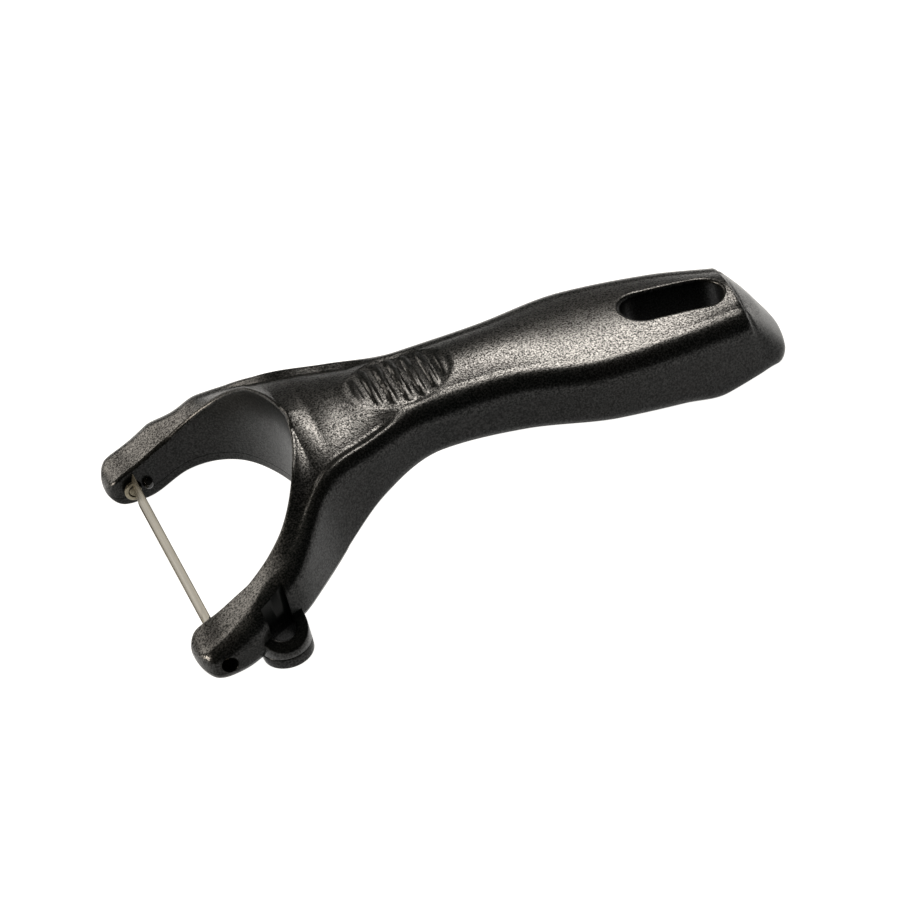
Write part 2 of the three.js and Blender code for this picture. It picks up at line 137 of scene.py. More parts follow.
# ---- Blade, pins and stops ----
PIVOT_BORE = 1.4
BORE_FLARE = 0.12
PIN_RADIUS = 1.1
PIN_RECESS = 2.6               # the pin ends this far inside the arm's outer face
PIN_CHAMFER = 0.18
PIN_CORE = 0.3                 # radius of the flat in the middle of its inner end
PIN_MARK = [(0.62, 0), (0.5, 0.15), (0.2, 0.2)]  # (radius, depth) of the mark in its outer end
PIN_TIP = 0.1                  # and this far inside the ear's inner face
EAR_CLEARANCE = 0.6
STOP_X = 2.55
STOP_RADIUS = 0.9
STOP_FIT = 0.06                # its bore is this much wider
STOP_HEIGHT = 1.4
STOP_SHANK = 0.4               # straight share of that height; the rest is a dome
STOP_DOME_TURN = 84            # degrees of the dome's arc; a small flat closes it
STOP_DEPTH = 2.5
STOP_CHAMFER = 0.2             # of the end inside the arm
BLADE_WIDTH = 7.4
BLADE_STEEL = 0.5
BLADE_EDGE = 0.1
BLADE_BOW = 0.75
BLADE_DROP = 0.45
BLADE_X = 0.1
OUTER_GRIND = 0.75             # width of the ground band along the strip's outer edges
SLOT_GRIND = 0.5               # and along the slot
SLOT_WIDTH = 1.5
SLOT_END = 3.5                 # from the strip's end
SLOT_STEP = 0.3                # from the slot's end to the next place along the strip
STRIP_SHARES = [0, 0.05, 0.12, 0.2, 0.32, 0.45, 0.6, 0.72, 0.82, 0.9, 0.96, 1]  # from edge to slot
LIP_RISE = 0.18
LIP_REACH = 0.5
FAR = 9.0                      # stands for a place with no slot beside it
EAR_REACH = 1.9
EAR_TURN = (82, 278)           # degrees of the ear's arc about the pin
EAR_RINGS = [(PIN_RADIUS + 0.1, 0.08), (PIN_RADIUS + 0.2, 0), (1.5, 0), (EAR_REACH - 0.12, 0),
             (EAR_REACH, 0.09)]  # (radius, how far the face is rounded back there)

# ---- Rows of the handle's mesh ----
LEAST_HEIGHT = 0.05            # a cut near the nose's tip counts as at least this tall
TOP_ROWS = 37
SHOULDER_ROWS = 12
RIM_ROWS = 6
OUTER_WALL_ROWS = 13
INNER_WALL_ROWS = 14
PLATE_OUTER_ROWS = 9
PLATE_INNER_ROWS = 8
PLATE_LOWER_ROWS = 13
JOINT_ROWS = 5
# rows of inner wall, which fold into one point where a cut ends on the mirror plane
SHELL_FOLDED_ROWS = INNER_WALL_ROWS + RIM_ROWS - 2
PLATE_FOLDED_ROWS = PLATE_INNER_ROWS - 2

# ---- Cuts across the handle's mesh, and the place of the outer edge that each one runs to ----
HOLE_STATIONS = 61
FORK_STATIONS = 76
NOSE_STATIONS = 21
STATIONS_BEHIND_DISH = 34
STATIONS_AHEAD_OF_DISH = 18
DISH_STEP = 0.3                # between the cuts through the dish,
DISH_LEAST_STEP = 0.12         # and the least from one of them to a rib's own
NOSE_TURN = 88.5               # degrees of the nose's arc that the cuts reach
HOLE_TO_END = [(0, 0), (0.17, 9.8)]  # (share round the hole, distance round the tail's end)
HOLE_TO_SIDE = [(0.35, 99.5), (0.65, 90.8), (1, 82)]  # (share round the hole, x)
MIDDLE_TO_SIDE = [(27, 32.2), (35.5, 35.6), (57, 57), (84, 80.5)]  # (x on the mirror plane, x)
FORK_TO_SIDE = [(0, 32), (0.3, 26.5), (0.6, 14.5), (1, 0)]  # (share along the opening, x)

# ---- Grain of the plastic's surface, 1 for the spark-eroded texture with its painted glints and 0 for smooth ----
GRAIN_WALL = 0.2
GRAIN_LOOP = 0.3
GRAIN_RIM = 0.5
GRAIN_RIB_LOSS = 0.6
GRAIN_SHOULDER_LOSS = 0.75

# ---- Camera, in mm from the pivot ----
CAMERA_AT = (-109.9, -908.2, 743.2)
CAMERA_AZIMUTH = math.radians(-10.03)
CAMERA_ELEVATION = math.radians(38.88)
CAMERA_ROLL = math.radians(-15.62)
CAMERA_LENS = 279.5

# ---- Floor, in metres ----
FLOOR_HALF = 3.0
FLOOR_DROP = 0.00005           # it lies this far under the table plane


# ---------------------------------------------------------------- numbers and meshes

def smooth_line(points):
    """A smooth value through (x, value) points, level at high points, low points and flat stretches."""
    xs = np.array([p[0] for p in points], float)
    vs = np.array([p[1] for p in points], float)
    slopes = np.zeros(len(points))
    for i in range(len(points)):
        before = max(i - 1, 0)
        after = min(i + 1, len(points) - 1)
        inside = 0 < i < len(points) - 1
        turns = inside and (vs[after] - vs[i]) * (vs[i] - vs[before]) <= 0
        if not turns:
            slopes[i] = (vs[after] - vs[before]) / (xs[after] - xs[before])

    def value(x):
        x = np.asarray(x, float)
        i = np.clip(np.searchsorted(xs, x) - 1, 0, len(xs) - 2)
        span = xs[i + 1] - xs[i]
        t = np.clip((x - xs[i]) / span, 0, 1)
        blend = vs[i] * (1 + 2 * t) * (1 - t) ** 2 + vs[i + 1] * t * t * (3 - 2 * t)
        return blend + span * t * (1 - t) * (slopes[i] * (1 - t) - slopes[i + 1] * t)

    return value


crest_line = smooth_line(CREST)
underside_line = smooth_line(UNDERSIDE)
width_line = smooth_line(HALF_WIDTH)


def rim_rise(x):
    """How far the fork's inner edge stands over the crest line."""
    places, rises = zip(*RIM_RISE)
    return np.interp(x, places, rises)


def step(low, high, x):
    """0 before low to 1 past high, smooth between; falls instead where high is below low."""
    t = np.clip((np.asarray(x, float) - low) / (high - low), 0, 1)
    return t * t * (3 - 2 * t)


def to_frame(points):
    """Points in mm from the pivot as metres of the frame."""
    return np.asarray(points, float) * MM + PIVOT


def make_object(name, points, faces, smooth_angle=40, attribute=None):
    """A mesh object from points in mm, with smooth shading up to smooth_angle degrees."""
    mesh = bpy.data.meshes.new(name)
    mesh.from_pydata(to_frame(points).tolist(), [], faces)
    if attribute is not None:
        layer = mesh.attributes.new("grain", "FLOAT", "POINT")
        layer.data.foreach_set("value", np.asarray(attribute, np.float32))
    mesh.validate()
    mesh.shade_smooth()
    obj = bpy.data.objects.new(name, mesh)
    bpy.context.scene.collection.objects.link(obj)
    mesh.set_sharp_from_angle(angle=math.radians(smooth_angle))
    return obj


def outward(obj):
    """Turns every face of a closed mesh to point out."""
    bm = bmesh.new()
    bm.from_mesh(obj.data)
    bmesh.ops.recalc_face_normals(bm, faces=bm.faces)
    bm.to_mesh(obj.data)
    bm.free()
    return obj


def along_line(line):
    """Distance of each point of a polyline from its start."""
    steps = np.hypot(*np.diff(line, axis=0).T)
    return np.concatenate([[0], np.cumsum(steps)])


def at_distance(values, along, distance):
    """Points or normals at these distances, from the values that a line has at the distances along."""
    return np.stack([np.interp(distance, along, values[:, k]) for k in range(values.shape[1])], 1)


def at_share(line, share):
    """Points at these shares of a polyline's length."""
    along = along_line(line)
    return at_distance(line, along / along[-1], share)


def resample(line, count):
    """count points evenly along a polyline."""
    line = np.asarray(line, float)
    along = along_line(line)
    return at_distance(line, along, np.linspace(0, along[-1], count))


def tube_faces(rings, rows):
    """Faces of a closed tube through rings of points, with a cap at each end."""
    faces = []
    for i in range(rings - 1):
        here = i * rows
        there = here + rows
        for k in range(rows):
            after = (k + 1) % rows
            faces.append((here + k, here + after, there + after, there + k))
    faces.append(tuple(range(rows)))
    faces.append(tuple((rings - 1) * rows + k for k in range(rows)))
    return faces


def used_points(faces):
    """The points that faces use, in order, and the faces numbered in that order."""
    used = sorted({v for face in faces for v in face})
    order = {v: i for i, v in enumerate(used)}
    return used, [[order[v] for v in face] for face in faces]


# ---------------------------------------------------------------- handle

def half_width(x):
    """Half the handle's width, rounding off at the tail's corners."""
    from_tail = np.clip(TAIL_X - np.asarray(x, float), 0, TAIL_CORNER)
    return width_line(x) - TAIL_CORNER + np.sqrt(TAIL_CORNER ** 2 - (TAIL_CORNER - from_tail) ** 2)


def nose_closing(x):
    """1 behind the noses, falling to 0 at their tips."""
    ahead = np.clip(-np.asarray(x, float) / NOSE_LENGTH, 0, 1)
    return np.sqrt(np.clip(1 - ahead ** 2, 0, 1))


def heights(x):
    """Crest and underside, closing over the noses."""
    top = crest_line(x)
    bottom = underside_line(x)
    middle = (top + bottom) / 2
    closing = nose_closing(x)
    return middle + (top - middle) * closing, middle + (bottom - middle) * closing


def rib_height(x, y):
    """0 to 1: how much of a rib stands at this point of the dish."""
    found = np.zeros_like(x)
    for i in range(RIBS):
        offset = (i - (RIBS - 1) / 2) * RIB_PITCH
        reach = (DISH_HALF_WIDTH - RIB_INSET) * math.sqrt(1 - (offset / DISH_HALF_LENGTH) ** 2)
        past_end = np.clip(np.abs(y) - (reach - RIB_HALF_WIDTH), 0, None)
        distance = np.hypot(x - DISH_X - offset, past_end)
        outside = step(RIB_HALF_WIDTH - RIB_FLANK, RIB_HALF_WIDTH + RIB_FLANK, distance)
        found = np.maximum(found, 1 - outside)
    return found


def dish_drop(x, y):
    """How far the thumb dish lowers the top, ribs included."""
    inside = 1 - ((x - DISH_X) / DISH_HALF_LENGTH) ** 2 - (y / DISH_HALF_WIDTH) ** 2
    depth = DISH_DEPTH * np.clip(inside, 0, None)
    rib_top = np.minimum(depth, RIB_SUNK + RIB_FOLLOW * depth)
    return depth + (rib_top - depth) * rib_height(x, y)


def valley_drop(x, y, from_edge):
    """The valley along each arm's border: a long inner slope and a short outer one."""
    inner = np.exp(-np.clip(from_edge - VALLEY_FROM_EDGE, 0, None) / VALLEY_REACH)
    outer = step(VALLEY_FROM_EDGE - VALLEY_OUTER, VALLEY_FROM_EDGE, from_edge)
    along = step(*VALLEY_TAIL, x) * step(*VALLEY_NOSE, x)
    return VALLEY_DEPTH * inner * outer * along * step(0, VALLEY_MIDDLE, np.abs(y))


def fork_half(x):
    """Half the clear width of the fork's opening at x."""
    closing = np.clip(1 - (np.clip(x, 0, CROTCH_X) / CROTCH_X) ** OPENING_POWER, 0, 1)
    return FORK_HALF * closing ** OPENING_ROUND


def top_height(x, y, from_edge):
    """Height of the handle's upper surface, without the roundings at its edges."""
    top, bottom = heights(x)
    crown = np.minimum(CROWN, (top - bottom) * CROWN_SHARE)
    shoulder_y = half_width(x) - SHOULDER
    z = top - crown * np.clip(np.abs(y) / np.maximum(shoulder_y, 1), 0, 1) ** 2
    inwards = (shoulder_y - np.abs(y)) / np.maximum(shoulder_y - fork_half(x), 0.5)
    z = z + rim_rise(x) * np.clip(inwards, 0, 1)
    return z - dish_drop(x, y) - valley_drop(x, y, from_edge)


def seam_height(x):
    """Height of the joint line between shell and base."""
    start, end = PLATE_TAPER
    along = np.clip((np.asarray(x, float) - start) / (end - start), 0, 1)
    _, bottom = heights(x)
    thickness = PLATE_THICKNESS + (PLATE_THIN - PLATE_THICKNESS) * along
    return bottom + thickness * nose_closing(x)


def lean_tail(points):
    """Leans the tail's end face forward towards its top."""
    share = np.clip((points[..., 0] - TAIL_LEAN_X) / (TAIL_X - TAIL_LEAN_X), 0, 1)
    rise = np.clip(points[..., 2] - TABLE_Z - TAIL_LEAN_FROM, 0, None)
    bulge = TAIL_BULGE * (points[..., 1] / TAIL_BULGE_HALF) ** 2
    leaned = points.copy()
    leaned[..., 0] -= share * (TAIL_LEAN * rise + bulge)
    return leaned


def outer_edge(count=1200):
    """The widest line in plan, from the tail's middle round its corner to where the noses start."""
    across = [(TAIL_X, y) for y in np.linspace(0, half_width(TAIL_X), 40)]
    corner_x = TAIL_X - TAIL_CORNER + TAIL_CORNER * np.cos(np.linspace(0, math.pi / 2, 60))
    side_x = np.linspace(TAIL_X - TAIL_CORNER, 0, 400)
    rounded = [(x, float(half_width(x))) for x in [*corner_x[1:], *side_x[1:]]]
    return resample(across + rounded, count)


def plan_normals(line):
    """Unit normals of a plan line, to the left of its run."""
    along = np.gradient(line, axis=0)
    normal = np.stack([-along[:, 1], along[:, 0]], 1)
    return normal / np.linalg.norm(normal, axis=1)[:, None]


def fork_edge():
    """The fork's opening in plan, from the crotch to where the nose starts."""
    x = CROTCH_X * np.sin(np.linspace(math.pi / 2, 0, 400))
    return np.stack([x, fork_half(x)], 1)


def hang_edge():
    """One side of the hang hole in plan, from its tail end to its near end."""
    points = []
    for end, start in ((1, 0), (-1, math.pi / 2)):
        centre = HANG_X + end * (HANG_HALF_LENGTH - HANG_HALF_WIDTH)
        for angle in np.linspace(start, start + math.pi / 2, 60):
            points.append((centre + HANG_HALF_WIDTH * math.cos(angle), HANG_HALF_WIDTH * math.sin(angle)))
    return np.array(points)


def mirror_line_places():
    """Places along the mirror plane between hang hole and crotch, closer together at the ribs."""
    start = HANG_X - HANG_HALF_LENGTH - INNER_RIM
    end = CROTCH_X + INNER_RIM
    fine = set()
    for i in range(RIBS):
        offset = DISH_X + (i - (RIBS - 1) / 2) * RIB_PITCH
        for part in (RIB_HALF_WIDTH - RIB_FLANK, RIB_HALF_WIDTH, RIB_HALF_WIDTH + RIB_FLANK):
            fine.add(round(offset + part, 3))
            fine.add(round(offset - part, 3))
        fine.add(round(offset, 3))
        fine.add(round(offset + RIB_PITCH / 2, 3))
    dish_low = DISH_X - DISH_HALF_LENGTH - 1
    dish_high = DISH_X + DISH_HALF_LENGTH + 1
    behind = np.linspace(start, dish_high, STATIONS_BEHIND_DISH)[1:]
    ahead = np.linspace(dish_low, end, STATIONS_AHEAD_OF_DISH)[:-1]
    spread = np.arange(dish_low, dish_high, DISH_STEP)
    between = [x for x in spread if min(abs(x - place) for place in fine) > DISH_LEAST_STEP]
    return np.array(sorted({*behind, *ahead, *fine, *between}, reverse=True))


class OuterEdge:
    """The handle's widest line in plan, with its inward normals."""

    def __init__(self):
        self.line = outer_edge()
        self.normals = plan_normals(self.line)
        self.along = along_line(self.line)
        self.on_side = self.line[:, 0] <= TAIL_X - TAIL_CORNER

    def distance_to(self, x):
        """Distance along the line to where the side reaches x."""
        return np.interp(-np.asarray(x, float), -self.line[self.on_side, 0], self.along[self.on_side])

    def at(self, distance):
        """Points and inward normals at these distances."""
        place = at_distance(self.line, self.along, distance)
        normal = at_distance(self.normals, self.along, distance)
        return place, normal / np.linalg.norm(normal, axis=1)[:, None]


def hole_stations(edge):
    """Stations round the hang hole."""
    share = np.linspace(0, 1, HOLE_STATIONS)
    place = at_share(hang_edge(), share)
    centre = np.clip(place[:, 0], HANG_X - HANG_HALF_LENGTH + HANG_HALF_WIDTH,
                     HANG_X + HANG_HALF_LENGTH - HANG_HALF_WIDTH)
    normal = place - np.stack([centre, np.zeros(len(centre))], 1)
    normal /= np.linalg.norm(normal, axis=1)[:, None]
    matches = HOLE_TO_END + [(part, edge.distance_to(x)) for part, x in HOLE_TO_SIDE]
    outer, outer_normal = edge.at(np.interp(share, *zip(*matches)))
    return place, normal, outer, outer_normal, np.ones(len(place), bool)


def middle_stations(edge):
    """Stations that end on the mirror plane, between hang hole and crotch."""
    x = mirror_line_places()
    place = np.stack([x, np.zeros(len(x))], 1)
    outer, outer_normal = edge.at(edge.distance_to(np.interp(x, *zip(*MIDDLE_TO_SIDE))))
    return place, np.tile([0.0, 1.0], (len(x), 1)), outer, outer_normal, np.zeros(len(x), bool)


def fork_stations(edge):
    """Stations along the fork's opening, from the crotch to the nose."""
    share = np.linspace(0, 1, FORK_STATIONS)
    place = at_share(fork_edge(), share)
    normal = -plan_normals(place)
    normal[0] = (1, 0)
    outer, outer_normal = edge.at(edge.distance_to(np.interp(share, *zip(*FORK_TO_SIDE))))
    return place, normal, outer, outer_normal, np.ones(len(place), bool)


def nose_stations():
    """Stations across the nose, up to just short of its tip."""
    turn = np.radians(np.linspace(0, NOSE_TURN, NOSE_STATIONS + 1))[1:]
    x = -NOSE_LENGTH * np.sin(turn)
    ahead = np.clip((NOSE_PLAN_LENGTH - NOSE_LENGTH - x) / NOSE_PLAN_LENGTH, 0, 1)
    narrowing = np.sqrt(1 - ahead ** 2)
    inner_y = NOSE_MIDDLE_Y + (FORK_HALF - NOSE_MIDDLE_Y) * narrowing
    outer_y = NOSE_MIDDLE_Y + (width_line(x) - NOSE_MIDDLE_Y) * narrowing
    normal = np.tile([0.0, 1.0], (len(x), 1))
    return np.stack([x, inner_y], 1), normal, np.stack([x, outer_y], 1), -normal, np.ones(len(x), bool)


def fitted(radius, room, tall, width):
    """The radius, or less where a cut has no room for it."""
    return min(radius, tall * room[0], width * room[1])


class Cut:
    """One cut across the handle's half, from point a inside to point b outside in plan."""

    def __init__(self, a, a_normal, b, b_normal, walled, width):
        self.a = a
        self.a_normal = a_normal
        self.b = b
        self.b_normal = b_normal
        self.walled = walled
        self.width = width
        top, self.b_bottom = heights(b[0])
        _, self.a_bottom = heights(a[0])
        tall = max(top - self.b_bottom, LEAST_HEIGHT)
        self.shoulder = fitted(SHOULDER, SHOULDER_ROOM, tall, width)
        self.lower = fitted(LOWER_EDGE, LOWER_EDGE_ROOM, tall, width)
        self.rim = fitted(INNER_RIM, INNER_RIM_ROOM, tall, width) if walled else 0
        self.lower_rim = fitted(INNER_LOWER_RIM, INNER_LOWER_RIM_ROOM, tall, width) if walled else 0
        self.a_seam = float(seam_height(a[0]))
        self.b_seam = float(seam_height(b[0]))
        self.gap = SEAM_LINE * float(nose_closing(b[0]))


def handle_cuts():
    """The cuts of one half, from the hang hole's tail end round to the nose's tip."""
    edge = OuterEdge()
    groups = [hole_stations(edge), middle_stations(edge), fork_stations(edge), nose_stations()]
    inner, inner_normal, outer, outer_normal, walled = (np.concatenate(part) for part in zip(*groups))
    width = np.linalg.norm(outer - inner, axis=1)
    return [Cut(*values) for values in zip(inner, inner_normal, outer, outer_normal, walled, width)]


def lower_profile(radius, bottom, low, high, count):
    """(inset, z) up a wall from low to high, where the wall rounds under with radius at bottom."""
    turn = np.linspace(-math.pi / 2, 0, 24)
    line = [(radius - radius * math.cos(t), bottom + radius + radius * math.sin(t)) for t in turn]
    line.append((0.0, max(high, bottom + radius + 1e-3)))
    dense = resample(line, 200)
    kept = dense[(dense[:, 1] >= low) & (dense[:, 1] <= high)]
    first = [np.interp(low, dense[:, 1], dense[:, 0]), low]
    last = [np.interp(high, dense[:, 1], dense[:, 0]), high]
    return resample([first, *kept.tolist(), last], count)


def shell_ring(cut):
    """Points and grain round the shell at a cut: top, side, joint line and inner wall."""
    start = cut.a + cut.a_normal * cut.rim
    end = cut.b + cut.b_normal * cut.shoulder
    share = np.linspace(0, 1, TOP_ROWS)[:, None]
    patch = start + (end - start) * share
    from_edge = (1 - share[:, 0]) * np.linalg.norm(end - start) + cut.shoulder
    ring = np.column_stack([patch, top_height(patch[:, 0], patch[:, 1], from_edge)]).tolist()
    grain = (1 - GRAIN_RIB_LOSS * rib_height(patch[:, 0], patch[:, 1])).tolist()
    for t in np.linspace(0, math.pi / 2, SHOULDER_ROWS + 1)[1:]:
        place = cut.b + cut.b_normal * cut.shoulder * (1 - math.sin(t))
        z = top_height(place[0], place[1], cut.shoulder * (1 - math.sin(t)))
        ring.append([*place, float(z) - cut.shoulder * (1 - math.cos(t))])
        grain.append(1 - GRAIN_SHOULDER_LOSS * t / (math.pi / 2))
    wall_top = ring[-1][2]
    wall = lower_profile(cut.lower, cut.b_bottom, cut.b_seam + cut.gap, wall_top, OUTER_WALL_ROWS)[::-1]
    ring += [[*(cut.b + cut.b_normal * inset), z] for inset, z in wall[1:]]
    joint = np.linspace(cut.b + cut.b_normal * wall[-1][0], cut.a, JOINT_ROWS)[1:]
    if cut.walled:
        joint = joint[:-1]
    ring += [[*place, float(seam_height(place[0])) + cut.gap] for place in joint]
    grain += [GRAIN_WALL] * (len(wall) - 1 + len(joint))
    if not cut.walled:
        return ring + [ring[-1]] * SHELL_FOLDED_ROWS, grain + [GRAIN_WALL] * SHELL_FOLDED_ROWS
    rim_z = float(top_height(cut.a[0], cut.a[1], cut.width)) - cut.rim
    wall = lower_profile(cut.lower_rim, cut.a_bottom, cut.a_seam + cut.gap, rim_z, INNER_WALL_ROWS)
    ring += [[*(cut.a + cut.a_normal * inset), z] for inset, z in wall]
    grain += [GRAIN_WALL] * len(wall)
    for t in np.linspace(0, math.pi / 2, RIM_ROWS + 1)[-2:0:-1]:
        place = cut.a + cut.a_normal * cut.rim * (1 - math.sin(t))
        z = float(top_height(place[0], place[1], cut.width))
        ring.append([*place, z - cut.rim * (1 - math.cos(t))])
        grain.append(GRAIN_RIM)
    return ring, grain


def plate_ring(cut):
    """Points and grain round the base at a cut: joint line, side, underside and inner wall."""
    b_seam = cut.b_seam - cut.gap
    a_seam = cut.a_seam - cut.gap
    a_radius = max(cut.lower_rim, 1e-3)
    outer_wall = lower_profile(cut.lower, cut.b_bottom, cut.b_bottom, b_seam, PLATE_OUTER_ROWS)[::-1]
    inner_wall = lower_profile(a_radius, cut.a_bottom, cut.a_bottom, a_seam, PLATE_INNER_ROWS)
    start = cut.a + cut.a_normal * (inner_wall[-1][0] if cut.walled else 0)
    joint = np.linspace(start, cut.b + cut.b_normal * outer_wall[0][0], JOINT_ROWS)
    ring = [[*place, float(seam_height(place[0])) - cut.gap] for place in joint]
    ring += [[*(cut.b + cut.b_normal * inset), z] for inset, z in outer_wall[1:]]
    low_start = cut.b + cut.b_normal * cut.lower
    low_end = cut.a + cut.a_normal * cut.lower_rim
    under = np.linspace(low_start, low_end, PLATE_LOWER_ROWS)[1:]
    ring += [[*place, float(heights(place[0])[1])] for place in under]
    if cut.walled:
        ring += [[*(cut.a + cut.a_normal * inset), z] for inset, z in inner_wall[1:-1]]
    else:
        ring += [ring[-1]] * PLATE_FOLDED_ROWS
    return ring, [GRAIN_WALL] * len(ring)


def merge_points(points, faces, grain):
    """Joins points that lie in one place, and drops the faces that this leaves without area."""
    keys = {}
    kept = []
    joined = np.zeros(len(points), int)
    for i, key in enumerate(map(tuple, np.round(points, 5) + 0.0)):
        if key not in keys:
            keys[key] = len(kept)
            kept.append(i)
        joined[i] = keys[key]
    merged = []
    for face in faces:
        clean = []
        for v in joined[list(face)]:
            if not clean or clean[-1] != v:
                clean.append(int(v))
        if clean[0] == clean[-1]:
            clean.pop()
        if len(set(clean)) > 2:
            merged.append(clean)
    used, merged = used_points(merged)
    return points[kept][used], merged, grain[kept][used]


def handle_mesh(name, ring_at, folded_rows):
    """Both halves of one layer of the handle as a single closed mesh; ring_at gives its ring at a cut."""
    cuts = handle_cuts()
    rings, grains = (np.array(part, float) for part in zip(*map(ring_at, cuts)))
    count, rows, _ = rings.shape
    last_shared = rows - 1 - folded_rows
    faces = []
    for j in range(count - 1):
        open_inside = not (cuts[j].walled and cuts[j + 1].walled)
        here = j * rows
        there = here + rows
        for k in range(last_shared if open_inside else rows):
            after = (k + 1) % rows
            faces.append((here + k, here + after, there + after, there + k))
    faces.append(tuple((count - 1) * rows + k for k in range(rows)))
    half = rings.reshape(-1, 3)
    points = np.concatenate([half, half * np.array([1, -1, 1])])
    faces += [tuple(len(half) + v for v in reversed(face)) for face in faces]
    grain = grains.reshape(-1)
    points, faces, grain = merge_points(points, faces, np.concatenate([grain, grain]))
    return make_object(name, lean_tail(points), faces, 50, grain)


# ---------------------------------------------------------------- round parts, cuts and sheets

def lathe(name, profile, x, z, side=1, segments=48):
    """A solid of revolution about a line along Y; the profile's points are (radius, y)."""
    points = []
    for radius, y in profile:
        for i in range(segments):
            angle = 2 * math.pi * i / segments
            points.append((x + radius * math.cos(angle), side * y, z + radius * math.sin(angle)))
    return outward(make_object(name, points, tube_faces(len(profile), segments)))


def prism(name, outline, side, low, high_at, smooth_angle=40, grain=None):
    """An upright solid over a plan outline; high_at gives the height of its top for each y."""
    count = len(outline)
    points = [(x, side * y, low) for x, y in outline]
    points += [(x, side * y, high_at(y)) for x, y in outline]
    faces = [tuple(range(count)), tuple(range(count, 2 * count))]
    faces += [(i, (i + 1) % count, count + (i + 1) % count, count + i) for i in range(count)]
    attribute = None if grain is None else [grain] * len(points)
    return outward(make_object(name, points, faces, smooth_angle, attribute))


def sheet_solid(front, back, kept):
    """Points and faces of a closed solid between two grids; kept says which cells are solid."""
    rows, columns, _ = front.shape
    points = np.concatenate([front.reshape(-1, 3), back.reshape(-1, 3)])
    offset = rows * columns

    def at(i, j):
        return i * columns + j

    faces = []
    for i in range(rows - 1):
        for j in range(columns - 1):
            if not kept[i, j]:
                continue
            corners = [at(i, j), at(i + 1, j), at(i + 1, j + 1), at(i, j + 1)]
            faces.append(tuple(corners))
            faces.append(tuple(offset + c for c in reversed(corners)))
            neighbours = [(i, j - 1), (i + 1, j), (i, j + 1), (i - 1, j)]
            for side, (ni, nj) in enumerate(neighbours):
                if 0 <= ni < rows - 1 and 0 <= nj < columns - 1 and kept[ni, nj]:
                    continue
                a = corners[side]
                b = corners[(side + 1) % 4]
                faces.append((b, a, offset + a, offset + b))
    used, faces = used_points(faces)
    return points[used], faces


def carve(obj, cutters):
    """Cuts closed bodies out of obj."""
    for cutter in cutters:
        modifier = obj.modifiers.new("cut", "BOOLEAN")
        modifier.operation = "DIFFERENCE"
        modifier.solver = "EXACT"
        modifier.object = cutter
    bpy.context.view_layer.update()
    evaluated = obj.evaluated_get(bpy.context.evaluated_depsgraph_get())
    mesh = bpy.data.meshes.new_from_object(evaluated)
    obj.modifiers.clear()
    obj.data = mesh
    mesh.shade_smooth()
    mesh.set_sharp_from_angle(angle=math.radians(50))
    for cutter in cutters:
        bpy.data.objects.remove(cutter)


def bore_cutters(side):
    """The pivot's bore through the arm and the blind bore of the stop peg."""
    start = FORK_HALF - 2
    wall = float(width_line(0))
    pivot = [(PIVOT_BORE, start), (PIVOT_BORE, wall - BORE_FLARE), (PIVOT_BORE + BORE_FLARE, wall),
             (PIVOT_BORE + BORE_FLARE, wall + 2)]
    peg = [(STOP_RADIUS + STOP_FIT, start), (STOP_RADIUS + STOP_FIT, FORK_HALF + STOP_DEPTH + 0.1)]
    return [lathe("bore", pivot, 0, 0, side), lathe("bore", peg, STOP_X, 0, side)]


def window_cutter(side):
    """The window between an arm and its loop, cut a little way into the arm."""
    outline = [(LOOP_X + LOOP_BORE, LOOP_CENTRE_Y - LOOP_BORE_TAIL)]
    for angle in np.linspace(0, math.pi, 25):
        outline.append((LOOP_X + LOOP_BORE * math.cos(angle), LOOP_CENTRE_Y + LOOP_BORE * math.sin(angle)))
    outline.append((LOOP_X - LOOP_BORE, LOOP_CENTRE_Y - LOOP_BORE_NOSE))
    return prism("window", outline, side, TABLE_Z - 3, lambda y: LOOP_TOP_ROOT + 6)


# ---------------------------------------------------------------- loops

def loop_rim_height(y):
    """The loop's rim falls evenly from the arm to the loop's outer end."""
    reach = LOOP_CENTRE_Y + LOOP_RADIUS - LOOP_ROOT_Y
    return LOOP_TOP_ROOT + (LOOP_TOP_TIP - LOOP_TOP_ROOT) * (np.abs(y) - LOOP_ROOT_Y) / reach


def loop_back(side, name):
    """The loop's inner wall, which closes the ring against the arm."""
    root = LOOP_ROOT_Y - LOOP_BACK_EMBED
    tail = LOOP_X + LOOP_RADIUS - LOOP_EDGE
    nose = LOOP_X - LOOP_RADIUS + LOOP_EDGE
    tail_y = LOOP_CENTRE_Y - LOOP_BORE_TAIL
    nose_y = LOOP_CENTRE_Y - LOOP_BORE_NOSE
    outline = [(nose, root), (tail, root), (tail, tail_y), (LOOP_X + LOOP_BORE, tail_y),
               (LOOP_X - LOOP_BORE, nose_y), (nose, nose_y)]
    return prism(name, outline, side, LOOP_LOW_Z + LOOP_BACK_LOW,
                 lambda y: float(loop_rim_height(y)) - LOOP_BACK_TOP, 30, GRAIN_WALL)


